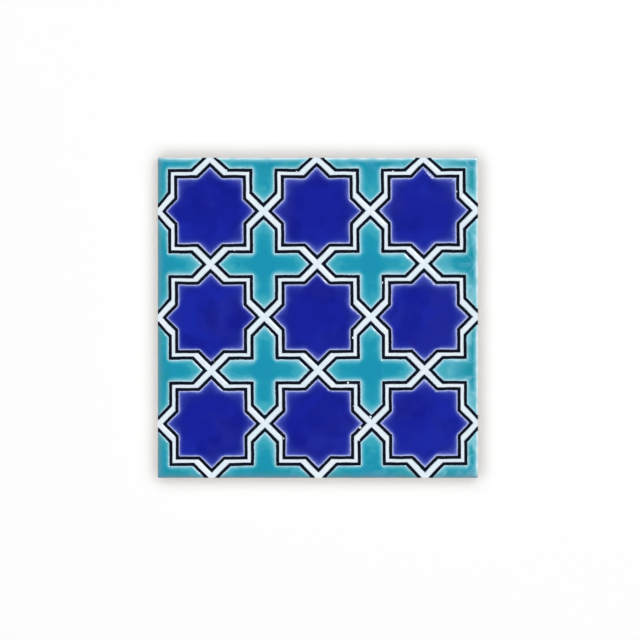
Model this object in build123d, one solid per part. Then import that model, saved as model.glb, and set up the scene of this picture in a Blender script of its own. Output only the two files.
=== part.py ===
"""A square haft rang wall tile: one fired ceramic piece, all sizes in millimetres.

The glazed face carries a star and cross pattern in low relief. Dry black lines lie sunk between
fields of glaze: eight-pointed stars, crosses between them, and a strap that runs between the lines.
The back is keyed with shallow square pockets, and the tile lies on the ribs between them.
The origin is at the middle of the back, with +Z out of the glazed face.
"""

import os
from math import sqrt

from build123d import *

# The tile
tile_side = 200.0
tile_thickness = 10.0
corner_radius = 0.8  # upright corners of the square
arris_radius = 0.6  # rounded edge round the glazed face
back_chamfer = 0.5  # broken edge round the back

# The star and cross pattern
stars_per_side = 3
straight_band = 2.2  # width of the strap where it runs along the tile's sides
diagonal_band = 3.7  # width of the strap where it runs at 45 degrees
line_width = 1.7  # dry black line on each side of the strap
line_depth = 0.4  # how far the lines lie below the glaze
shoulder_run = 0.35  # how far each field of glaze slopes in from its line

# The keyed back
keys_per_side = 6
key_rib = 4.5  # rib between two pockets
key_rim = 10.0  # plain border round the pockets
key_depth = 0.8
key_corner_radius = 2.5
key_wall_slope = 20.0  # degrees that the pocket's walls lean from upright

# The lattice: the strap's middle line is a star whose tips meet at half the pitch
pitch = (tile_side - 2 * arris_radius) / stars_per_side
half_pitch = pitch / 2
middle_half_side = half_pitch / sqrt(2)
line_floor = tile_thickness - line_depth


def four_turns(quarter):
    """The corners of a closed outline from those of its first quarter, turned about the origin."""
    return [Vector(x, y).rotate(Axis.Z, 90 * turn) for turn in range(4) for x, y in quarter]


def star(straight_gap, diagonal_gap):
    """A star that keeps these gaps inside the strap's middle line."""
    side = middle_half_side - straight_gap
    tip = half_pitch - diagonal_gap * sqrt(2)
    return four_turns([(tip, 0), (side, tip - side), (side, side), (tip - side, side)])


def cross(straight_gap, diagonal_gap):
    """A cross with pointed arms that keeps these gaps outside the middle lines of four stars."""
    arm = half_pitch - middle_half_side - straight_gap
    tip = half_pitch - diagonal_gap * sqrt(2)
    return four_turns([(tip, 0), (tip - arm, arm), (arm, arm), (arm, tip - arm)])


def sloped_block(outline, foot_gap, top_gap):
    """A plane-sided block from the lines' floor to the face, with these gaps from the strap's edge."""
    foot = outline(straight_band / 2 + foot_gap, diagonal_band / 2 + foot_gap)
    top = outline(straight_band / 2 + top_gap, diagonal_band / 2 + top_gap)
    foot = [corner + (0, 0, line_floor) for corner in foot]
    top = [corner + (0, 0, tile_thickness) for corner in top]
    sides = zip(foot, foot[1:] + foot[:1], top[1:] + top[:1], top)
    return Solid(Shell([Face(Wire.make_polygon(ring)) for ring in (foot[::-1], top, *sides)]))


def glaze_field(outline):
    """A pad of glaze that stands on the floor of the lines, with shoulders that slope in."""
    return sloped_block(outline, line_width, line_width + shoulder_run)


def strap_opening(outline):
    """The space inside the strap round a field, wider at the face than at the floor of the lines."""
    return sloped_block(outline, 0, -shoulder_run)


def blank():
    """The plain square tile with its edges rounded and broken."""
    square = extrude(RectangleRounded(tile_side, tile_side, corner_radius), tile_thickness)
    square = fillet(square.edges().group_by(Axis.Z)[-1], arris_radius)
    return chamfer(square.edges().group_by(Axis.Z)[0], back_chamfer)


def relief():
    """The strap and the fields of glaze above the floor of the lines, running past the tile's edges."""
    strap = Pos(0, 0, line_floor) * extrude(Rectangle(2 * tile_side, 2 * tile_side), line_depth)
    fields = []
    for outline, copies in ((star, stars_per_side), (cross, stars_per_side + 1)):
        places = GridLocations(pitch, pitch, copies, copies).locations
        opening = strap_opening(outline)
        field = glaze_field(outline)
        strap -= [place * opening for place in places]
        fields += [place * field for place in places]
    return [strap, *fields]


def key_pockets():
    """The shallow square pockets in the back."""
    pocket_side = (tile_side - 2 * key_rim - (keys_per_side - 1) * key_rib) / keys_per_side
    mouth = RectangleRounded(pocket_side, pocket_side, key_corner_radius)
    pocket = extrude(mouth, key_depth, taper=key_wall_slope)
    spacing = pocket_side + key_rib
    return [place * pocket for place in GridLocations(spacing, spacing, keys_per_side, keys_per_side)]


def tile():
    """The patterned face trimmed to the blank, with the back keyed."""
    below_lines = extrude(Rectangle(2 * tile_side, 2 * tile_side), line_floor)
    patterned = below_lines + relief()
    return (patterned & blank()) - key_pockets()


os.makedirs("parts", exist_ok=True)
export_step(tile(), "parts/haft_rang_tile.step")
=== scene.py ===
from math import pi, radians, sqrt

import bmesh
import bpy
import numpy as np
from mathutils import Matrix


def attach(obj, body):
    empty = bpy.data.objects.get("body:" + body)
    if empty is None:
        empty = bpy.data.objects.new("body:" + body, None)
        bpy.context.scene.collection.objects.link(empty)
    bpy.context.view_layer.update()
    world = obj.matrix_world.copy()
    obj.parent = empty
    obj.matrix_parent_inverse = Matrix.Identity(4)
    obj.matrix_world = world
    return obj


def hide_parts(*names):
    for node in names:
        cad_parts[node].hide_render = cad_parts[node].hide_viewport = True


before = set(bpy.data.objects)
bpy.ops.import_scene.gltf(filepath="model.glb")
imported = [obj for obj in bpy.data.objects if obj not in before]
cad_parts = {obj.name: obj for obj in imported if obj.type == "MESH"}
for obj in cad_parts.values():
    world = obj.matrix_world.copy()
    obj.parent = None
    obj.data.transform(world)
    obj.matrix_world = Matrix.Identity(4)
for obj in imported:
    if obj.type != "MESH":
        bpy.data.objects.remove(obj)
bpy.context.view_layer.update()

mm = 0.001  # everything below is worked out in millimetres
metre = 1000.0  # so metre / size is the scale of a pattern of that size

# The tile's body, its drawing and its back
tile = {
    "side": 200.0,
    "thickness": 10.0,
    "arris": 0.6,  # rounded edge round the face
    "backChamfer": 0.5,
    "stars": 3,  # along each side
    "straightBand": 2.08,  # strap where it runs along the sides
    "diagonalBand": 3.52,  # strap where it runs at 45 degrees
    "bandShift": (-0.06, -0.09),  # the strap lies this far nearer the star, on straight and diagonal runs
    "line": 1.85,  # dry line on each side of the strap
    "lineDepth": 0.4,
    "fieldRise": 0.37,  # glaze of a star or cross above the line's floor
    "strapRise": 0.34,
    "meniscus": 0.7,  # how far the glaze takes to rise from its edge
    "ripple": 0.006,  # fine unevenness of the glaze's top
    "headroom": 0.004,  # the glaze stays this far below the tile's full thickness
    "wander": 0.045,  # how far a line strays sideways
    "patternShift": (-0.23, 0.39),  # the drawing sits this far off the middle
    "patternStretch": (0.0049, 0.0017),  # and is this much larger along x and y
    "patternLean": (-0.0059, 0.0027),  # and this much askew: x per y, y per x
    "patternFade": 6.0,  # and comes back to its place over the last stretch before the edge
    "glazeLap": 1.1,  # glaze that ran over the arris
    "glazeLip": 0.06,  # its thickness on the side
    "keys": 6,  # pockets along each side of the back
    "keyRib": 4.5,
    "keyRim": 10.0,
    "keyDepth": 0.8,
    "keyCorner": 2.5,
    "keySlope": 20.0,  # degrees that a pocket's walls lean
    "cornerPoints": 5,  # points that round each upright corner
    "seed": 7,
}

half = tile["side"] / 2
faceHalf = half - tile["arris"]
cellHalf = faceHalf / tile["stars"]  # half the pitch of the stars
lineFloor = tile["thickness"] - tile["lineDepth"]
cobalt, turquoise, white, dryLine, clay = range(5)  # slots of the tile's materials

# Outlines from the strap's middle line: where a side runs and where a tip lies
straight, diagonal = tile["straightBand"] / 2, tile["diagonalBand"] / 2
bandSide = cellHalf / sqrt(2) + tile["bandShift"][0]
bandTip = cellHalf + tile["bandShift"][1] * sqrt(2)
starSide = bandSide - straight - tile["line"]
starTip = bandTip - (diagonal + tile["line"]) * sqrt(2)
crossSide = bandSide + straight + tile["line"]
crossTip = bandTip + (diagonal + tile["line"]) * sqrt(2)


# A smooth uneven field: the mean of twelve sine waves in random directions, lengths round one size
def unevenness(x, y, size, seed):
    rng = np.random.default_rng(tile["seed"] * 100 + seed)
    turn = rng.uniform(0, 2 * pi, 12)[:, None]
    wave = 2 * pi / (size * rng.uniform(0.7, 1.5, 12))[:, None]
    phase = rng.uniform(0, 2 * pi, 12)[:, None]
    along = np.cos(turn) * np.ravel(x) + np.sin(turn) * np.ravel(y)
    return (np.sin(along * wave + phase).sum(0) / sqrt(6)).reshape(np.shape(x))


# Rings of one eighth of a cell, from the star's middle to the cross's middle. A ring runs from the axis
# along x + y = tip to the corner (side, tip - side), then up x = side to the diagonal. Each has a zone, a
# depth in from the edge of its line or strap, and the height of the strap's rounded top.
def ringTable():
    inset = np.array([0, 0.07, 0.18, 0.34, 0.56, 0.9, 1.4, 2.1, 3.0, 4.2, 5.8, 8.0, 10.5])
    shrink = np.array([0, 0.35, 0.7])
    intoLine = np.array([0.12, 0.5, 0.88])
    outOfLine = intoLine[::-1]
    crossing = -tile["bandShift"][1] / diagonal  # this ring runs through the corner of the cell
    across = np.array([-1, -0.93, -0.8, -0.55, -0.28, crossing, 0.28, 0.55, 0.8, 0.93, 1])
    arm = cellHalf - crossSide
    reach = np.append(inset[inset < arm - 0.6], arm)  # the last ring is the arm's middle line
    bands = [
        (cobalt, shrink * (starSide - inset[-1]), shrink * (starTip - inset[-1] * sqrt(2))),
        (cobalt, starSide - inset[::-1], starTip - inset[::-1] * sqrt(2)),
        (dryLine, starSide + intoLine * tile["line"], starTip + intoLine * tile["line"] * sqrt(2)),
        (white, bandSide + across * straight, bandTip + across * diagonal * sqrt(2)),
        (dryLine, crossSide - outOfLine * tile["line"], crossTip - outOfLine * tile["line"] * sqrt(2)),
        (turquoise, crossSide + reach, crossTip + reach * sqrt(2)),
    ]
    bandZones, sides, tips = zip(*bands)
    zone = np.repeat(bandZones, [len(side) for side in sides])
    depth = np.zeros(len(zone))
    depth[zone == white] = (1 - np.abs(across)) * straight
    depth[zone == dryLine] = np.tile(np.minimum(intoLine, 1 - intoLine) * tile["line"], 2)
    dome = np.zeros(len(zone))
    dome[zone == white] = np.clip(1 - np.abs(across) ** 2.4, 0, 1) ** 0.7
    rowZone = np.where(zone[:-1] == zone[1:], zone[:-1], dryLine)  # faces between two zones are line
    return np.concatenate(sides), np.concatenate(tips), depth, zone, dome, rowZone


# Depth of a field's glaze, in from its outline. Towards a point the distances to the two edges join as
# inverse powers, so the point stays thin. A star is a square crossed with a diamond, whose depths join as
# squares. A cross is two pointed arms, whose depths add up where they meet.
def poolDepth(x, y):
    def pinch(power, *gaps):
        return (np.maximum(np.array(gaps), 1e-6) ** -power).sum(0) ** (-1 / power)

    def toDiagonals(tip, alongX, alongY):
        return (tip - alongX - alongY) / sqrt(2), (tip - np.abs(alongX - alongY)) / sqrt(2)

    starX = np.abs((x + faceHalf) % (2 * cellHalf) - cellHalf)
    starY = np.abs((y + faceHalf) % (2 * cellHalf) - cellHalf)
    crossX, crossY = cellHalf - starX, cellHalf - starY
    arm = cellHalf - crossSide
    square = pinch(1.5, starSide - starX, starSide - starY)
    diamond = pinch(1.6, *toDiagonals(starTip, starX, starY))
    point = pinch(2.2, *toDiagonals(2 * cellHalf - crossTip, crossX, crossY))
    return np.hypot(square, diamond), pinch(4, arm - crossY, point) + pinch(4, arm - crossX, point)


# One eighth of a cell as a grid of rings by steps: steps share out the tip's run, then the side's run
def octant(side, tip, tipSteps=11, sideSteps=12):
    start = np.stack([np.minimum(tip, cellHalf), np.maximum(tip - cellHalf, 0)], 1)
    corner = np.stack([side, tip - side], 1)
    corner[tip < side] = np.stack([tip, tip * 0], 1)[tip < side]
    end = np.stack([side, side], 1)
    a = np.linspace(0, 1, tipSteps + 1)[None, :, None]
    b = np.linspace(0, 1, sideSteps + 1)[None, 1:, None]
    first = start[:, None] * (1 - a) + corner[:, None] * a
    second = corner[:, None] * (1 - b) + end[:, None] * b
    return np.concatenate([first, second], 1)


# Quads of a grid of vertex numbers, rows by columns
def gridQuads(index):
    return np.stack([index[:-1, :-1], index[1:, :-1], index[1:, 1:], index[:-1, 1:]], -1)


# Quads between closed loops of vertex numbers, one loop in each row
def loopQuads(index):
    return gridQuads(np.hstack([index, index[:, :1]])).reshape(-1, 4)


# Points that round to the same micrometre become one: the first of each kind, and each point's new number
def weldPoints(points):
    rounded = np.round(points * 1000 + 0.21).astype(np.int64)  # 0.21 keeps points off the halves
    _, first, number = np.unique(rounded, axis=0, return_index=True, return_inverse=True)
    return first, number.ravel()


# The points on a square's outline in order round it: right, top, left, bottom. The point at each corner
# is repeated as a fan. Gives the ids without and with the fans, the outward direction of each fanned
# point, and both kinds of place round the square, from 0 to 4.
def squareLoop(x, y, reach, slack):
    edge = reach - slack
    ids = np.nonzero(np.maximum(np.abs(x), np.abs(y)) > edge)[0]
    ex, ey = x[ids], y[ids]
    sides = [(ex > edge) & (ey > -edge), (ey > edge) & (ex < edge), (ex < -edge) & (ey < edge)]
    quarter = np.select(sides, [0, 1, 2], 3)
    run = np.select(sides, [ey, -ex, -ey], ex)
    order = np.lexsort((run, quarter))
    ids, quarter, run = ids[order], quarter[order], run[order]
    copies = np.where(run > edge, tile["cornerPoints"], 1)
    firstCopy = np.repeat(np.cumsum(copies) - copies, copies)
    step = (np.arange(copies.sum()) - firstCopy) / (tile["cornerPoints"] - 1)
    cornerShare = 0.04  # of a quarter's places
    place = quarter + (run + reach) / (2 * reach) * (1 - cornerShare) + cornerShare / 2
    turn = (np.repeat(quarter, copies) + step) * pi / 2
    outward = np.stack([np.cos(turn), np.sin(turn)], 1)
    return ids, np.repeat(ids, copies), outward, place, np.repeat(place, copies) + step * cornerShare


# Triangles between two loops of points, each in order of a place from 0 to 4 round the square:
# each point in turn makes one with the point before it and the latest of the other loop
def zipLoops(placeA, indexA, placeB, indexB):
    which = np.concatenate([np.zeros(len(placeA), int), np.ones(len(placeB), int)])
    turn = which[np.argsort(np.concatenate([placeA, placeB]), kind="stable")]
    seenA, seenB = np.cumsum(turn == 0), np.cumsum(turn == 1)
    lastA, lastB = indexA[seenA - 1], indexB[seenB - 1]
    third = np.where(turn == 0, indexA[seenA - 2], indexB[seenB - 2])
    third = np.where((turn == 0) & (seenA == 1), indexA[-1], third)
    third = np.where((turn == 1) & (seenB == 1), indexB[-1], third)
    return np.stack([lastA, lastB, third], 1)


# The face: eight mirrored copies of the eighth in each cell, welded into one sheet
print("stage: working out the face")
ringSide, ringTip, ringDepth, ringZone, ringDome, rowZone = ringTable()
eighth = octant(ringSide, ringTip)
rings, steps = eighth.shape[:2]
eighth = eighth.reshape(-1, 2)
eighthQuads = gridQuads(np.arange(len(eighth)).reshape(rings, steps)).reshape(-1, 4)
signs = np.array([(1, 1), (-1, 1), (1, -1), (-1, -1)])
swapped = np.stack([eighth, eighth[:, ::-1]])
cell = (swapped[:, None] * signs[None, :, None]).reshape(-1, 2)
starPlaces = (np.arange(tile["stars"]) - (tile["stars"] - 1) / 2) * 2 * cellHalf
centres = np.stack(np.meshgrid(starPlaces, starPlaces, indexing="ij"), -1).reshape(-1, 1, 2)
points = (cell + centres).reshape(-1, 2)
copies = len(points) // len(eighth)
faces = (eighthQuads + np.arange(copies)[:, None, None] * len(eighth)).reshape(-1, 4)
faceZone = np.tile(np.repeat(rowZone, steps - 1), copies)
firstOf, welded = weldPoints(points)
faces = welded[faces]
flat = points[firstOf]
flat = np.where(np.abs(flat) > faceHalf - 1e-3, np.sign(flat) * faceHalf, flat)
flatRing = np.tile(np.repeat(np.arange(rings), steps), copies)[firstOf]
print("face vertices", len(flat), "quads", len(faces))

# Heights: each glaze rises from its edge as one minus an exponential of its depth, the strap as a dome
x0, y0 = flat.T
vertexZone = ringZone[flatRing]
starDepth, crossDepth = poolDepth(x0, y0)
inStar, inCross = vertexZone == cobalt, vertexZone == turquoise
depth = np.select([inStar, inCross], [starDepth, crossDepth], ringDepth[flatRing])
shoulder = tile["meniscus"] * np.clip(1.15 - 0.5 * unevenness(x0, y0, 15, 9), 0.5, 2.0)
fieldTop = 1 - np.exp(-depth / shoulder)
strapTop = ringDome[flatRing]
level = np.clip(1 + 0.06 * unevenness(x0, y0, 22, 1), 0.8, 1.06)
inField = inStar | inCross
z0 = lineFloor + np.where(inField, tile["fieldRise"] * fieldTop, tile["strapRise"] * strapTop) * level
z0 += np.where(inField, fieldTop, strapTop) * tile["ripple"] * unevenness(x0, y0, 6, 2)
z0 = np.minimum(z0, tile["thickness"] - tile["headroom"])

# The hand's unevenness: a shift, stretch, lean and wander that die out towards the tile's own edges
fadeX = np.clip((faceHalf - np.abs(x0)) / tile["patternFade"], 0, 1)
fadeY = np.clip((faceHalf - np.abs(y0)) / tile["patternFade"], 0, 1)
moveX = tile["patternShift"][0] + tile["patternStretch"][0] * x0 + tile["patternLean"][0] * y0
moveY = tile["patternShift"][1] + tile["patternStretch"][1] * y0 + tile["patternLean"][1] * x0
strayX = unevenness(x0, y0, 11, 3) + unevenness(x0, y0, 40, 4)
strayY = unevenness(x0, y0, 11, 5) + unevenness(x0, y0, 40, 6)
x1 = x0 + fadeX * (moveX + tile["wander"] * strayX)
y1 = y0 + fadeY * (moveY + tile["wander"] * strayY)

# The rim: a profile carried round the face's edge. It turns down the arris, laps the side and ends in
# a thin glaze lip; then plain clay runs down to the chamfer.
print("stage: working out the rim and the back")
_, loopIds, outward, _, loopPlace = squareLoop(x0, y0, faceHalf, 1e-4)
base = np.stack([x1, y1], 1)[loopIds]
baseZ = z0[loopIds]
sideTop = tile["thickness"] - tile["arris"]
ragged = 0.18 * unevenness(base[:, 0], base[:, 1], 28, 8) + 0.10 * unevenness(base[:, 0], base[:, 1], 5, 10)
lap = np.clip(tile["glazeLap"] * (1 + ragged), 0.4, 3.0)
arc = np.linspace(0, pi / 2, 6)[1:]
arcZ = sideTop + (baseZ - sideTop) * np.cos(arc)[:, None]
rimZ = np.vstack([arcZ, sideTop - lap * 0.6, sideTop - lap, sideTop - lap - 0.08])
lipOut = tile["arris"] - np.array([0, 0.02, tile["glazeLip"]])
rimOut = np.append(tile["arris"] * np.sin(arc), lipOut)[:, None] * np.ones(len(loopIds))
rimPoints = np.dstack([base + outward * rimOut[..., None], rimZ]).reshape(-1, 3)
rimRows = len(rimOut)
rimNumbers = len(flat) + np.arange(len(rimPoints)).reshape(rimRows, -1)
rimIndex = np.vstack([loopIds, rimNumbers])
rimQuads = loopQuads(rimIndex)
nextIds = np.roll(loopIds, -1)
lowerRing = np.minimum(flatRing[loopIds], flatRing[nextIds])
segmentZone = rowZone[np.minimum(lowerRing, rings - 2)]
segmentZone = np.where(loopIds == nextIds, turquoise, segmentZone)  # the corners are cross
rimZone = np.tile(segmentZone, rimRows)

# The back's pockets: each cell is rings of points from its square outline through the pocket's rounded
# mouth and sloping wall to the middle of its floor
pocketSide = (tile["side"] - 2 * tile["keyRim"] - (tile["keys"] - 1) * tile["keyRib"]) / tile["keys"]
keyPitch = pocketSide + tile["keyRib"]
stations = np.array([-1, -0.95, -0.89, -0.8, -0.4, 0, 0.4, 0.8, 0.89, 0.95])
oneSide = np.stack([np.ones(len(stations)), stations], 1)
quarterTurns = [np.array([[np.cos(t), np.sin(t)], [-np.sin(t), np.cos(t)]]) for t in np.arange(4) * pi / 2]
outline = np.concatenate([oneSide @ turned for turned in quarterTurns])
mouth = pocketSide / 2
slopeRun = tile["keyDepth"] * np.tan(radians(tile["keySlope"]))
pocketRings = [  # half width, corner radius, height
    (keyPitch / 2, 0, 0),
    (mouth + 0.25, tile["keyCorner"] + 0.25, 0),
    (mouth - 0.03, tile["keyCorner"], 0.1),
    (mouth - slopeRun + 0.05, tile["keyCorner"] - slopeRun, tile["keyDepth"] - 0.12),
    (mouth - slopeRun - 0.35, tile["keyCorner"] - 0.6, tile["keyDepth"]),
    (mouth / 2, 0.5, tile["keyDepth"]),
    (0, 0, tile["keyDepth"]),
]


# A square outline with rounded corners: each point is drawn to the radius round the nearest inner point
def pocketRing(halfWidth, radius, height):
    square = outline * halfWidth
    core = np.clip(square, -(halfWidth - radius), halfWidth - radius)
    away = square - core
    length = np.maximum(np.hypot(away[:, 0], away[:, 1]), 1e-9)[:, None]
    ring = core + away / length * np.minimum(length, radius) if radius > 0 else square
    return np.column_stack([ring, np.full(len(ring), height)])


pocket = np.concatenate([pocketRing(*ring) for ring in pocketRings])
pocketQuads = loopQuads(np.arange(len(pocket)).reshape(len(pocketRings), -1))
keyPlaces = (np.arange(tile["keys"]) - (tile["keys"] - 1) / 2) * keyPitch
keyX, keyY = np.meshgrid(keyPlaces, keyPlaces)
keyCentres = np.stack([keyX, keyY, keyX * 0], -1).reshape(-1, 1, 3)
backPoints = (pocket + keyCentres).reshape(-1, 3)
backFaces = (pocketQuads + np.arange(len(keyCentres))[:, None, None] * len(pocket)).reshape(-1, 4)
firstOf, welded = weldPoints(backPoints)
backPoints, backFaces = backPoints[firstOf], welded[backFaces]

# Clay side and chamfer: square loops at the stations of the back's cells
keyReach = tile["keys"] * keyPitch / 2
border, fanned, outwardBack, borderPlace, sidePlace = squareLoop(*backPoints[:, :2].T, keyReach, 1e-3)
squareBack = backPoints[fanned, :2] / keyReach * faceHalf
sideRows = [  # distance out from the face's edge, height
    (tile["arris"] - tile["glazeLip"], tile["backChamfer"]),
    (tile["arris"] - tile["backChamfer"], 0.0),
]
sidePoints = np.concatenate([np.column_stack([squareBack + outwardBack * reach, np.full(len(fanned), height)])
                             for reach, height in sideRows])

# All vertices and faces in one list; a quad whose corners fell together becomes a triangle
vertices = np.concatenate([np.column_stack([x1, y1, z0]), rimPoints, sidePoints, backPoints])
sideStart = len(flat) + len(rimPoints)
backStart = sideStart + len(sidePoints)
chamferStart = sideStart + len(fanned)
sideIndex = np.arange(sideStart, backStart).reshape(2, -1)
sideQuads = loopQuads(sideIndex)
sideZip = zipLoops(loopPlace, rimIndex[-1], sidePlace, sideIndex[0])
backZip = zipLoops(sidePlace, sideIndex[1], borderPlace, border + backStart)
quads = np.concatenate([faces, rimQuads, sideQuads, backFaces + backStart])
quadZone = np.concatenate([faceZone, rimZone, np.full(len(sideQuads) + len(backFaces), clay)])
same = quads == np.roll(quads, -1, axis=1)
triangleParts = [np.concatenate([sideZip, backZip])]
triangleZones = [np.full(len(triangleParts[0]), clay)]
for k in range(4):
    pick = same[:, k] & (same.sum(1) == 1)
    triangleParts.append(np.delete(quads[pick], k, axis=1))
    triangleZones.append(quadZone[pick])
triangles, triangleZone = np.concatenate(triangleParts), np.concatenate(triangleZones)
distinct = (triangles != np.roll(triangles, -1, axis=1)).all(1)
triangles, triangleZone = triangles[distinct], triangleZone[distinct]
whole = ~same.any(1)
quads, quadZone = quads[whole], quadZone[whole]

print("stage: building the mesh")
mesh = bpy.data.meshes.new("glazedTile")
mesh.from_pydata(vertices * mm, [], quads.tolist() + triangles.tolist())
mesh.polygons.foreach_set("material_index", np.concatenate([quadZone, triangleZone]).astype(np.int32))

# How the glazes change towards the tile's own edges: mm over which each change runs, and its amount
edgeLook = {
    "bareAndLitEast": (1.7, 1.0),  # glaze drawn thin so the white shows, and a painted highlight along the top and right edges
    "bareAndLitNorth": (1.75, 0.95),
    "patchyEast": (12.0, 0.62),  # thin patches
    "patchyNorth": (5.0, 0.3),
    "thinWest": (1.5, 0.2),
    "shadeSouth": (2.1, 0.9),  # painted shade along the bottom and left edges
    "shadeWest": (1.8, 0.85),
    "shadeDeepWest": (14.0, 0.3),  # painted shade and light: colour deeper towards the left and bottom, paler towards the right
    "shadeDeepSouth": (10.0, 0.15),
    "lightPaleEast": (14.0, -0.12),
    "wash": (7.0, 1.0),  # green and pale washes
}


# A change that fades from an edge as an exponential of the gap, or of the gap to a power
def fromEdge(gap, change, power=1):
    width, amount = edgeLook[change]
    return amount * np.exp(-(gap / width) ** power)


# What the glazes read at each vertex: depth is mm in from the glaze's edge, made deeper towards the left
# and bottom edges and shallower towards the right as painted shade and light; reach is mm from the nearest
# cross's middle, and the rest is how much of each change there is, from 0 to 1
plain = np.zeros(len(vertices) - sideStart)
deep = np.concatenate([depth, np.tile(depth[loopIds], rimRows), plain])
vx, vy = vertices[:, 0], vertices[:, 1]
crossX = np.abs((vx + faceHalf + cellHalf) % (2 * cellHalf) - cellHalf)
crossY = np.abs((vy + faceHalf + cellHalf) % (2 * cellHalf) - cellHalf)
armReach = np.hypot(crossX, crossY)
patchy = np.clip(unevenness(vx, vy, 17, 11) * 0.6 + 0.3, 0, 1) * np.clip((armReach - 5) / 12, 0, 1)
streak = 0.9 + 0.1 * unevenness(vx, vy, 8, 12)
east, west, north, south = half - vx, half + vx, half - vy, half + vy
# Pale along the top and right edges: partly thin glaze, partly a painted highlight on those edges
thinAndLitParts = [
    fromEdge(east, "bareAndLitEast", 2) * streak,
    fromEdge(north, "bareAndLitNorth", 2) * streak,
    fromEdge(east, "patchyEast") * patchy,
    fromEdge(north, "patchyNorth") * patchy,
    fromEdge(west, "thinWest"),
]
# Painted shade: the glaze turns greyer and darker along the bottom and left edges
dulled = np.maximum(fromEdge(south, "shadeSouth", 2), fromEdge(west, "shadeWest", 2)) * streak
# Painted shade and light: colours run deeper towards the left and bottom edges and paler towards the right
deep *= 1 + fromEdge(west, "shadeDeepWest") + fromEdge(south, "shadeDeepSouth") + fromEdge(east, "lightPaleEast")
nearest = np.min([east * 0.7, west, north, south], axis=0)
readings = {
    "shadedGlazeDepth": deep,
    "armReach": armReach,
    "thinGlazeAndHighlight": np.clip(np.max(thinAndLitParts, axis=0), 0, 1),
    "edgeWash": fromEdge(nearest, "wash"),
    "edgeShade": dulled,
}
for name, values in readings.items():
    mesh.attributes.new(name, "FLOAT", "POINT").data.foreach_set("value", values.astype(np.float32))

# Unfolded places for the baked map: face, rim and sides lie flat as one sheet, the back lies beside them
unfolding = {
    "sheetHalf": 0.42,
    "sheetMiddle": 0.422,
    "backHalf": 0.075,
    "backMiddle": 0.922,
    "edgeSpread": 1.02,  # the chamfer lies a little outside the back
    "floorShrink": 0.98,  # and the pockets' floors a little inside their walls
}
rimSteps = np.hypot(np.diff(rimOut, axis=0, prepend=0), np.diff(np.vstack([baseZ, rimZ]), axis=0))
rimPath = np.cumsum(rimSteps, 0)
sideEnd = tile["arris"] + 0.02 + tile["thickness"]
sheetReach = faceHalf + sideEnd + 1.0
sheet = vertices[:, :2].copy()
sheet[len(flat):sideStart] = (base + outward * rimPath[..., None]).reshape(-1, 2)
sheet[sideStart:chamferStart] = squareBack + outwardBack * sideEnd
sheet = unfolding["sheetHalf"] * sheet / sheetReach + unfolding["sheetMiddle"]
spread = np.where(vertices[:, 2] > tile["keyDepth"] / 2, unfolding["floorShrink"], 1.0)
spread[:chamferStart] = unfolding["edgeSpread"]
beside = unfolding["backHalf"] * vertices[:, :2] / half * spread[:, None] + unfolding["backMiddle"]
corner = np.zeros(len(mesh.loops), dtype=np.int32)
mesh.loops.foreach_get("vertex_index", corner)
onBack = np.append(np.repeat(quads.min(1) >= sideStart, 4), np.repeat(triangles.min(1) >= sideStart, 3))
bakeMap = mesh.uv_layers.new(name="OFBake")
bakePlaces = np.where(onBack[:, None], beside[corner], sheet[corner])
bakeMap.data.foreach_set("uv", bakePlaces.astype(np.float32).ravel())
mesh.update()
mesh.validate()

work = bmesh.new()
work.from_mesh(mesh)
bmesh.ops.recalc_face_normals(work, faces=work.faces)
openEdges = sum(not e.is_manifold for e in work.edges)
print("open edges", openEdges, "volume mm3", round(work.calc_volume() / mm ** 3))
work.to_mesh(mesh)
work.free()
mesh.polygons.foreach_set("use_smooth", np.ones(len(mesh.polygons), dtype=bool))
mesh.set_sharp_from_angle(angle=radians(38))
mesh.calc_loop_triangles()
print("triangles", len(mesh.loop_triangles))

glazedTile = bpy.data.objects.new("glazedTile", mesh)
bpy.context.scene.collection.objects.link(glazedTile)
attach(glazedTile, "root")
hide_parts("haft_rang_tile")


# sRGB hex to linear light
def linear(hexColour):
    parts = [int(hexColour[i:i + 2], 16) / 255 for i in (1, 3, 5)]
    return tuple(c / 12.92 if c <= 0.04045 else ((c + 0.055) / 1.055) ** 2.4 for c in parts) + (1.0,)


# Adds one node: settings by name, stops for a ramp, and a value or a link for each input. Inputs that
# share a name go by number: Map Range 1 to 4 are its two ranges, Mix 6 and 7 its two colours.
def addNode(tree, kind, inputs={}, stops=(), **settings):
    made = tree.nodes.new(kind)
    for name, value in settings.items():
        setattr(made, name, value)
    if stops:
        elements = made.color_ramp.elements
        while len(elements) < len(stops):
            elements.new(0.5)
        for element, (place, colour) in zip(elements, stops):
            element.position = place
            element.color = linear(colour)
    for socket, value in inputs.items():
        if isinstance(value, bpy.types.NodeSocket):
            tree.links.new(value, made.inputs[socket])
        else:
            made.inputs[socket].default_value = value
    return made.outputs


# A new material in the next slot of the tile, with its node tree, shader and Object coordinates
def newMaterial(name, colour):
    material = bpy.data.materials.new(name)
    material.use_nodes = True
    material.diffuse_color = linear(colour)
    tree = material.node_tree
    mesh.materials.append(material)
    return tree, tree.nodes["Principled BSDF"], addNode(tree, "ShaderNodeTexCoord")["Object"]


print("stage: materials")
noiseLow, noiseHigh = 0.3, 0.7  # most of a noise lies between these
# What all glazes share
glaze = {
    "roughness": 0.11,
    "ior": 1.52,
    "swellSize": 7.0,  # mm between the swells of the fired surface
    "swellHeight": 0.016,
    "peelSize": 0.9,  # mm between the bumps of the orange peel
    "peelShare": 0.06,  # of the swells' height
    "rampLength": 8.0,  # mm of depth over which the colour settles
    "stretchSize": 16.0,  # mm between places where the glaze is thicker or thinner
    "fraySize": 1.6,  # mm between the frays of a rim
    "speckGap": 5.0,  # mm between the places where a pinhole may lie
    "speckSize": 0.22,
    "speckShare": 0.35,
    "speckStrength": 0.6,
    "speckPit": -0.25,  # of the swells' height
    "speckFray": 0.07,
}


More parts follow.
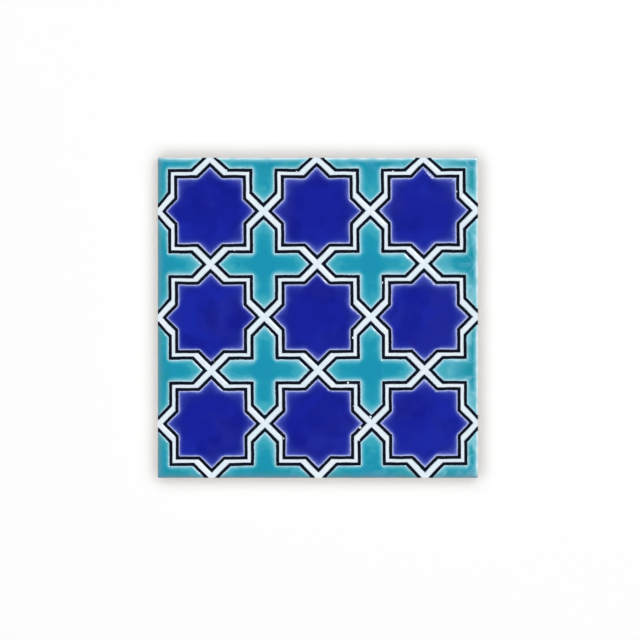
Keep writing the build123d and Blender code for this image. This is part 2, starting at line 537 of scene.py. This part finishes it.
# Colour by depth from the glaze's edge, stretched by broad noise and frayed by fine noise; clouds in its
# body; a surface that swells over several millimetres with a fine orange peel; pinholes as pale pits
def newGlaze(name, look):
    tree, shader, place = newMaterial(name, look["rim"][-1][1])
    # Depth in from the glaze's edge, with painted shade and light near the tile's own edges
    depth = addNode(tree, "ShaderNodeAttribute", attribute_name="shadedGlazeDepth")["Fac"]
    broad = addNode(tree, "ShaderNodeTexNoise", {"Vector": place, "Scale": metre / glaze["stretchSize"],
                    "Detail": 2.0})["Fac"]
    fine = addNode(tree, "ShaderNodeTexNoise", {"Vector": place, "Scale": metre / glaze["fraySize"],
                   "Detail": 4.0})["Fac"]
    stretch = addNode(tree, "ShaderNodeMapRange", {"Value": broad, 1: noiseLow, 2: noiseHigh,
                      3: look["least"], 4: look["most"]})[0]
    fray = addNode(tree, "ShaderNodeMapRange", {"Value": fine, 1: noiseLow, 2: noiseHigh,
                   3: -look["fray"], 4: look["fray"]})[0]
    stretched = addNode(tree, "ShaderNodeMath", {0: depth, 1: stretch}, operation="MULTIPLY")[0]
    settled = addNode(tree, "ShaderNodeMath", {0: stretched, 1: fray}, operation="ADD")[0]
    factor = addNode(tree, "ShaderNodeMath", {0: settled, 1: glaze["rampLength"]}, operation="DIVIDE")[0]
    stops = [(reach / glaze["rampLength"], tint) for reach, tint in look["rim"]]
    colour = addNode(tree, "ShaderNodeValToRGB", {"Fac": factor}, stops=stops)["Color"]
    first, last = look["cloudsFrom"]
    body = addNode(tree, "ShaderNodeMapRange", {"Value": settled, 1: first, 2: last, 3: 0.0, 4: 1.0})[0]
    for size, low, high, amount, tint in look["clouds"]:
        cloud = addNode(tree, "ShaderNodeTexNoise", {"Vector": place, "Scale": metre / size,
                        "Detail": 2.0})["Fac"]
        share = addNode(tree, "ShaderNodeMapRange", {"Value": cloud, 1: low, 2: high, 3: 0.0, 4: amount},
                        interpolation_type="SMOOTHSTEP")[0]
        part = addNode(tree, "ShaderNodeMath", {0: share, 1: body}, operation="MULTIPLY")[0]
        colour = addNode(tree, "ShaderNodeMix", {"Factor": part, 6: colour, 7: linear(tint)},
                         data_type="RGBA")[2]
    spot = addNode(tree, "ShaderNodeTexVoronoi", {"Vector": place, "Scale": metre / glaze["speckGap"]})
    uneven = addNode(tree, "ShaderNodeMath", {0: fine, 1: glaze["speckFray"], 2: spot["Distance"]},
                     operation="MULTIPLY_ADD")[0]
    speckReach = glaze["speckSize"] / glaze["speckGap"] + 0.03  # makes up for the fray
    dot = addNode(tree, "ShaderNodeMath", {0: uneven, 1: speckReach}, operation="LESS_THAN")[0]
    lot = addNode(tree, "ShaderNodeSeparateColor", {"Color": spot["Color"]})["Red"]
    chosen = addNode(tree, "ShaderNodeMath", {0: lot, 1: glaze["speckShare"]}, operation="LESS_THAN")[0]
    speck = addNode(tree, "ShaderNodeMath", {0: dot, 1: chosen}, operation="MULTIPLY")[0]
    faint = addNode(tree, "ShaderNodeMath", {0: speck, 1: glaze["speckStrength"]}, operation="MULTIPLY")[0]
    colour = addNode(tree, "ShaderNodeMix", {"Factor": faint, 6: colour, 7: linear(look["speck"])},
                     data_type="RGBA")[2]
    swell = addNode(tree, "ShaderNodeTexNoise", {"Vector": place, "Scale": metre / glaze["swellSize"],
                    "Detail": 2.0})["Fac"]
    peel = addNode(tree, "ShaderNodeTexNoise", {"Vector": place, "Scale": metre / glaze["peelSize"],
                   "Detail": 1.0})["Fac"]
    height = addNode(tree, "ShaderNodeMath", {0: peel, 1: glaze["peelShare"], 2: swell},
                     operation="MULTIPLY_ADD")[0]
    pitted = addNode(tree, "ShaderNodeMath", {0: speck, 1: glaze["speckPit"], 2: height},
                     operation="MULTIPLY_ADD")[0]
    bump = addNode(tree, "ShaderNodeBump", {"Height": pitted, "Strength": 1.0,
                   "Distance": glaze["swellHeight"] * mm})[0]
    shader.inputs["Roughness"].default_value = glaze["roughness"]
    shader.inputs["IOR"].default_value = glaze["ior"]
    tree.links.new(bump, shader.inputs["Normal"])
    tree.links.new(colour, shader.inputs["Base Color"])
    return tree, shader, place, settled, colour


# Cobalt glaze: flooded on over a white slip and fired glossy. It is thick and dark in the middle of a
# star and runs thin at the rim, where the white shows through as a lavender line; the flood leaves clouds.
# A rim is a list of mm in from the edge and the colour there. A cloud is its size in mm, the two noise
# values it grows between, its strength and its colour.
cobaltLook = {
    "rim": [(0.0, "#0e1738"), (0.07, "#363f6e"), (0.2, "#a3afe6"), (0.44, "#acb8ee"), (0.76, "#7a87d0"),
            (1.2, "#515db6"), (1.75, "#3844a8"), (2.6, "#25319c"), (3.8, "#182495"), (5.4, "#152097"),
            (8.0, "#151f9b")],
    "least": 0.75,  # where the glaze is thinnest its colours lie this much closer to the edge
    "most": 1.35,
    "fray": 0.14,  # mm that a rim frays in and out
    "cloudsFrom": (1.0, 4.0),  # mm in from the edge where the clouds begin and are full
    "clouds": [(32, 0.44, 0.64, 0.65, "#182aac"), (24, 0.48, 0.68, 0.4, "#272c92"),
               (18, 0.46, 0.64, 0.5, "#0e1486")],
    "speck": "#4a58b8",
}
newGlaze("cobaltGlaze", cobaltLook)

# Turquoise glaze: copper in an alkaline glaze. It pools blue in the middle of a cross, turns paler and
# greener along the arms, and draws off the tile's own edge so that the white shows. Along the top and right
# edges a painted highlight whitens it, and along the bottom and left edges painted shade greys and deepens
# it.
turquoiseLook = {
    "rim": [(0.0, "#0f2233"), (0.12, "#34586c"), (0.28, "#aed8ea"), (0.52, "#b2deee"), (0.82, "#9cd2e3"),
            (1.3, "#84c5d7"), (1.9, "#64b7cc"), (2.8, "#3fa8c0"), (4.0, "#239cb8"), (5.2, "#1d98b5"),
            (6.9, "#1a96b4")],
    "least": 0.8,
    "most": 1.5,
    "fray": 0.16,
    "cloudsFrom": (0.8, 3.0),
    "clouds": [(9, 0.52, 0.72, 0.35, "#3aa9bb"), (5, 0.54, 0.74, 0.3, "#178fae")],
    "speck": "#8fd0da",
    "poolEnds": (3.0, 14.0),  # mm from a cross's middle over which its pool fades
    "armEnds": (15.0, 28.0),  # mm over which an arm's end turns pale
    "endSway": 5.0,  # mm that those ends sway
    "swaySize": 7.0,
    "bodyFrom": (1.2, 4.5),  # mm in from the edge where both of these begin and are full
    "washSize": 8.0,  # mm between the washes along the tile's edges
    "eastward": (20.0, 90.0),  # mm right of the middle over which the pale wash grows
    "crossMiddle": "#1992b3",
    "armEnd": "#48b2bf",
    "washGreen": "#1b949f",
    "washPale": "#97d3dc",
    "thinning": "#88d2e2",
    "thinnest": "#e3f4fa",
    # painted shade along the bottom and left edges
    "dulled": "#608a9d",
}
tree, shader, place, settled, colour = newGlaze("turquoiseGlaze", turquoiseLook)
reach = addNode(tree, "ShaderNodeAttribute", attribute_name="armReach")["Fac"]
near, far = turquoiseLook["poolEnds"]
pool = addNode(tree, "ShaderNodeMapRange", {"Value": reach, 1: near, 2: far, 3: 0.85, 4: 0.0},
               interpolation_type="SMOOTHSTEP")[0]
first, last = turquoiseLook["bodyFrom"]
body = addNode(tree, "ShaderNodeMapRange", {"Value": settled, 1: first, 2: last, 3: 0.0, 4: 1.0},
               interpolation_type="SMOOTHSTEP")[0]
pooled = addNode(tree, "ShaderNodeMath", {0: pool, 1: body}, operation="MULTIPLY")[0]
drift = addNode(tree, "ShaderNodeTexNoise", {"Vector": place, "Scale": metre / turquoiseLook["swaySize"],
                "Detail": 4.0})["Fac"]
sway = addNode(tree, "ShaderNodeMapRange", {"Value": drift, 1: noiseLow, 2: noiseHigh,
               3: -turquoiseLook["endSway"], 4: turquoiseLook["endSway"]})[0]
swayed = addNode(tree, "ShaderNodeMath", {0: reach, 1: sway}, operation="ADD")[0]
near, far = turquoiseLook["armEnds"]
ending = addNode(tree, "ShaderNodeMapRange", {"Value": swayed, 1: near, 2: far, 3: 0.0, 4: 0.9},
                 interpolation_type="SMOOTHSTEP")[0]
ended = addNode(tree, "ShaderNodeMath", {0: ending, 1: body}, operation="MULTIPLY")[0]
wash = addNode(tree, "ShaderNodeAttribute", attribute_name="edgeWash")["Fac"]
mottle = addNode(tree, "ShaderNodeTexNoise", {"Vector": place, "Scale": metre / turquoiseLook["washSize"],
                 "Detail": 5.0, "Roughness": 0.55, "Distortion": 0.6})["Fac"]
across = addNode(tree, "ShaderNodeSeparateXYZ", {0: place})["X"]
near, far = turquoiseLook["eastward"]
paleMost = addNode(tree, "ShaderNodeMapRange", {"Value": across, 1: near * mm, 2: far * mm,
                   3: 0.0, 4: 0.85})[0]
green = addNode(tree, "ShaderNodeMapRange", {"Value": mottle, 1: 0.6, 2: 0.42, 3: 0.0, 4: 0.95})[0]
pale = addNode(tree, "ShaderNodeMapRange", {"Value": mottle, 1: 0.5, 2: 0.7, 3: 0.0, 4: paleMost})[0]
greenWash = addNode(tree, "ShaderNodeMath", {0: green, 1: wash}, operation="MULTIPLY")[0]
paleWash = addNode(tree, "ShaderNodeMath", {0: pale, 1: wash}, operation="MULTIPLY")[0]
# Thin glaze, with a painted highlight along the top and right edges
thinAndLit = addNode(tree, "ShaderNodeAttribute", attribute_name="thinGlazeAndHighlight")["Fac"]
thinnedAndLit = addNode(tree, "ShaderNodeMapRange", {"Value": thinAndLit, 1: 0.0, 2: 0.6, 3: 0.0, 4: 1.0})[0]
baredAndLit = addNode(tree, "ShaderNodeMapRange", {"Value": thinAndLit, 1: 0.4, 2: 0.95, 3: 0.0, 4: 1.0})[0]
# painted shade along the bottom and left edges
edgeShaded = addNode(tree, "ShaderNodeAttribute", attribute_name="edgeShade")["Fac"]
layers = ((pooled, "crossMiddle"), (ended, "armEnd"), (greenWash, "washGreen"), (paleWash, "washPale"),
          (thinnedAndLit, "thinning"), (baredAndLit, "thinnest"), (edgeShaded, "dulled"))
for amount, tint in layers:
    colour = addNode(tree, "ShaderNodeMix", {"Factor": amount, 6: colour, 7: linear(turquoiseLook[tint])},
                     data_type="RGBA")[2]
tree.links.new(colour, shader.inputs["Base Color"])

# White glaze: whitened with tin and trailed between the lines. It is bluish where it thins at its edges
# and takes a few specks of cobalt dust.
whiteLook = {
    "rim": [(0.0, "#a9bccd"), (0.24, "#d3e2ee"), (0.64, "#e3eff8"), (1.1, "#e6f1f9")],
    "least": 0.85,
    "most": 1.2,
    "fray": 0.08,
    "cloudsFrom": (0.0, 0.3),
    "clouds": [(30, 0.5, 0.72, 0.5, "#eef5fa"), (8, 0.54, 0.74, 0.4, "#d3e2f0")],
    "speck": "#7f95b8",
}
newGlaze("whiteGlaze", whiteLook)

# Dry line: manganese in grease, brushed on and fired matt. It is black and grainy, lies below the glaze,
# and has skips where beads of glaze crept over it.
dryLook = {
    "deep": "#03091a",
    "worn": "#081022",
    "bead": "#dfe9f0",
    "creep": "#1a2642",
    "grainSize": 0.5,
    "grainHeight": 0.07,
    "wearSize": 4.0,
    "biteDepth": 0.11,  # mm that the glaze's edge creeps over the line
    "beadGap": 7.0,  # mm between the places where a bead may lie
    "beadSize": 0.75,
    "beadShare": 0.28,
    "beadFray": 0.09,
    "roughness": (0.58, 0.15),  # of the line and of a bead
    "specular": 0.05,
}
tree, shader, place = newMaterial("dryLine", dryLook["deep"])
fromGlaze = addNode(tree, "ShaderNodeAttribute", attribute_name="shadedGlazeDepth")["Fac"]
grain = addNode(tree, "ShaderNodeTexNoise", {"Vector": place, "Scale": metre / dryLook["grainSize"],
                "Detail": 3.0})["Fac"]
wear = addNode(tree, "ShaderNodeTexNoise", {"Vector": place, "Scale": metre / dryLook["wearSize"],
               "Detail": 4.0})["Fac"]
leastWorn = addNode(tree, "ShaderNodeMapRange", {"Value": wear, 1: 0.4, 2: 0.7, 3: 0.0, 4: 0.5})[0]
worn = addNode(tree, "ShaderNodeMapRange", {"Value": grain, 1: 0.45, 2: 0.65, 3: leastWorn, 4: 1.0})[0]
bite = addNode(tree, "ShaderNodeMapRange", {"Value": grain, 1: 0.35, 2: 0.7,
               3: 0.0, 4: dryLook["biteDepth"]})[0]
over = addNode(tree, "ShaderNodeMath", {0: bite, 1: fromGlaze}, operation="SUBTRACT")[0]
creep = addNode(tree, "ShaderNodeMapRange", {"Value": over, 1: -0.03, 2: 0.05, 3: 0.0, 4: 1.0})[0]
spot = addNode(tree, "ShaderNodeTexVoronoi", {"Vector": place, "Scale": metre / dryLook["beadGap"]})
frayed = addNode(tree, "ShaderNodeMath", {0: grain, 1: dryLook["beadFray"], 2: spot["Distance"]},
                 operation="MULTIPLY_ADD")[0]
beadEdge = dryLook["beadSize"] / dryLook["beadGap"] + dryLook["beadFray"] / 2
blot = addNode(tree, "ShaderNodeMapRange", {"Value": frayed, 1: beadEdge - 0.02, 2: beadEdge + 0.01,
               3: 1.0, 4: 0.0})[0]
lot = addNode(tree, "ShaderNodeSeparateColor", {"Color": spot["Color"]})["Green"]
chosen = addNode(tree, "ShaderNodeMath", {0: lot, 1: dryLook["beadShare"]}, operation="LESS_THAN")[0]
bead = addNode(tree, "ShaderNodeMath", {0: blot, 1: chosen}, operation="MULTIPLY")[0]
colour = linear(dryLook["deep"])
for amount, tint in ((worn, "worn"), (creep, "creep"), (bead, "bead")):
    colour = addNode(tree, "ShaderNodeMix", {"Factor": amount, 6: colour, 7: linear(dryLook[tint])},
                     data_type="RGBA")[2]
matt, glossy = dryLook["roughness"]
gloss = addNode(tree, "ShaderNodeMapRange", {"Value": bead, 1: 0.0, 2: 1.0, 3: matt, 4: glossy})[0]
bump = addNode(tree, "ShaderNodeBump", {"Height": grain, "Strength": 1.0,
               "Distance": dryLook["grainHeight"] * mm})[0]
shader.inputs["Specular IOR Level"].default_value = dryLook["specular"]
tree.links.new(gloss, shader.inputs["Roughness"])
tree.links.new(colour, shader.inputs["Base Color"])
tree.links.new(bump, shader.inputs["Normal"])

# Biscuit: the pressed body, fired once. It is dusty and matt, with grains of grog and small pores.
clayLook = {
    "base": "#b3a897",
    "pale": "#c0b6a7",
    "dull": "#a39786",
    "grog": "#7a6d5d",
    "shadeSize": 26.0,
    "grogGap": 2.2,  # mm between the places where a grain of grog may lie
    "grogStrength": 0.55,
    "grogPit": -0.6,
    "grainSize": 0.7,
    "grainHeight": 0.06,
    "roughness": 0.92,
    "specular": 0.25,
}
tree, shader, place = newMaterial("biscuitClay", clayLook["base"])
shade = addNode(tree, "ShaderNodeTexNoise", {"Vector": place, "Scale": metre / clayLook["shadeSize"],
                "Detail": 5.0})["Fac"]
shades = [(0.15, clayLook["dull"]), (0.5, clayLook["base"]), (0.85, clayLook["pale"])]
colour = addNode(tree, "ShaderNodeValToRGB", {"Fac": shade}, stops=shades)["Color"]
spot = addNode(tree, "ShaderNodeTexVoronoi", {"Vector": place, "Scale": metre / clayLook["grogGap"]})
lot = addNode(tree, "ShaderNodeSeparateColor", {"Color": spot["Color"]})["Red"]
grogSize = addNode(tree, "ShaderNodeMapRange", {"Value": lot, 1: 0.6, 2: 1.0, 3: 0.0, 4: 0.2})[0]
grog = addNode(tree, "ShaderNodeMath", {0: spot["Distance"], 1: grogSize}, operation="LESS_THAN")[0]
grogTint = addNode(tree, "ShaderNodeMath", {0: grog, 1: clayLook["grogStrength"]}, operation="MULTIPLY")[0]
colour = addNode(tree, "ShaderNodeMix", {"Factor": grogTint, 6: colour, 7: linear(clayLook["grog"])},
                 data_type="RGBA")[2]
grain = addNode(tree, "ShaderNodeTexNoise", {"Vector": place, "Scale": metre / clayLook["grainSize"],
                "Detail": 4.0})["Fac"]
pored = addNode(tree, "ShaderNodeMath", {0: grog, 1: clayLook["grogPit"], 2: grain},
                operation="MULTIPLY_ADD")[0]
bump = addNode(tree, "ShaderNodeBump", {"Height": pored, "Strength": 0.7,
               "Distance": clayLook["grainHeight"] * mm})[0]
shader.inputs["Roughness"].default_value = clayLook["roughness"]
shader.inputs["Specular IOR Level"].default_value = clayLook["specular"]
tree.links.new(colour, shader.inputs["Base Color"])
tree.links.new(bump, shader.inputs["Normal"])

# The room, in metres: a floor and a soft ring of light with a dark ceiling, so that no light stands in the
# glaze, and a narrow key light that makes glints on the shoulders that face it
print("stage: room, light and camera")
room = {
    "floorColour": "#fbfbfb",
    "floorReach": 4.0,
    "floorDrop": 1e-4,  # so the floor and the tile's back don't share a plane
    "ringStrength": 2.035,
    "ringLean": (-0.14, -0.14, 0.0),  # a little brighter from the lower left
    "ringTop": (0.88, 0.95),  # heights on a unit sphere where the ring fades into the ceiling
    "ringFoot": (0.5, 0.75),  # and into the horizon
    "ceilingStrength": 0.05,
    "horizonShare": 0.07,  # of the ring's strength
    "keyPower": 1.3,
    "keyFrom": (0.335, 0.345, 1.316),  # over the tile's upper right corner
    "keySize": (0.04, 0.38),
    "cameraHeight": 3.0,
    "cameraPlace": (0.0013, -0.0014),
    "frameWidth": 0.3997,  # at the tile's face
}
reach, drop = room["floorReach"], -room["floorDrop"]
floorMesh = bpy.data.meshes.new("floor")
floorCorners = [(-reach, -reach, drop), (reach, -reach, drop), (reach, reach, drop), (-reach, reach, drop)]
floorMesh.from_pydata(floorCorners, [], [(0, 1, 2, 3)])
floor = bpy.data.objects.new("floor", floorMesh)
bpy.context.scene.collection.objects.link(floor)
floorMaterial = bpy.data.materials.new("floorPaint")
floorMaterial.use_nodes = True
floorTree = floorMaterial.node_tree
floorTree.nodes.remove(floorTree.nodes["Principled BSDF"])
paint = addNode(floorTree, "ShaderNodeBsdfDiffuse", {"Color": linear(room["floorColour"])})[0]
floorTree.links.new(paint, floorTree.nodes["Material Output"].inputs["Surface"])
floorMesh.materials.append(floorMaterial)

world = bpy.data.worlds.new("softRing")
bpy.context.scene.world = world
world.use_nodes = True
worldTree = world.node_tree
toward = addNode(worldTree, "ShaderNodeTexCoord")["Generated"]
height = addNode(worldTree, "ShaderNodeSeparateXYZ", {0: toward})["Z"]
low, high = room["ringTop"]
inner = addNode(worldTree, "ShaderNodeMapRange", {"Value": height, 1: low, 2: high, 3: room["ringStrength"],
                4: room["ceilingStrength"]}, interpolation_type="SMOOTHSTEP")[0]
low, high = room["ringFoot"]
outer = addNode(worldTree, "ShaderNodeMapRange", {"Value": height, 1: low, 2: high, 3: room["horizonShare"],
                4: 1.0}, interpolation_type="SMOOTHSTEP")[0]
ring = addNode(worldTree, "ShaderNodeMath", {0: inner, 1: outer}, operation="MULTIPLY")[0]
lean = addNode(worldTree, "ShaderNodeVectorMath", {0: toward, 1: room["ringLean"]},
               operation="DOT_PRODUCT")["Value"]
strength = addNode(worldTree, "ShaderNodeMath", {0: lean, 1: ring, 2: ring}, operation="MULTIPLY_ADD")[0]
seen = addNode(worldTree, "ShaderNodeLightPath")["Is Camera Ray"]
shown = addNode(worldTree, "ShaderNodeMix", {0: seen, 2: strength, 3: 1.0})[0]  # white past the floor
worldTree.links.new(shown, worldTree.nodes["Background"].inputs["Strength"])
worldTree.nodes["Background"].inputs["Color"].default_value = (1, 1, 1, 1)

keyData = bpy.data.lights.new("key", "AREA")
keyData.energy = room["keyPower"]
keyData.shape = "RECTANGLE"
keyData.size, keyData.size_y = room["keySize"]
key = bpy.data.objects.new("key", keyData)
bpy.context.scene.collection.objects.link(key)
key.location = room["keyFrom"]
key.rotation_mode = "QUATERNION"
key.rotation_quaternion = key.location.to_track_quat("Z", "Y")

cameraData = bpy.data.cameras.new("camera")
cameraData.sensor_width = 36.0
toFace = room["cameraHeight"] - tile["thickness"] * mm
cameraData.lens = cameraData.sensor_width * toFace / room["frameWidth"]
cameraData.clip_end = 50
camera = bpy.data.objects.new("camera", cameraData)
bpy.context.scene.collection.objects.link(camera)
camera.location = (*room["cameraPlace"], room["cameraHeight"])
bpy.context.scene.camera = camera
bpy.context.scene.view_settings.view_transform = "Standard"
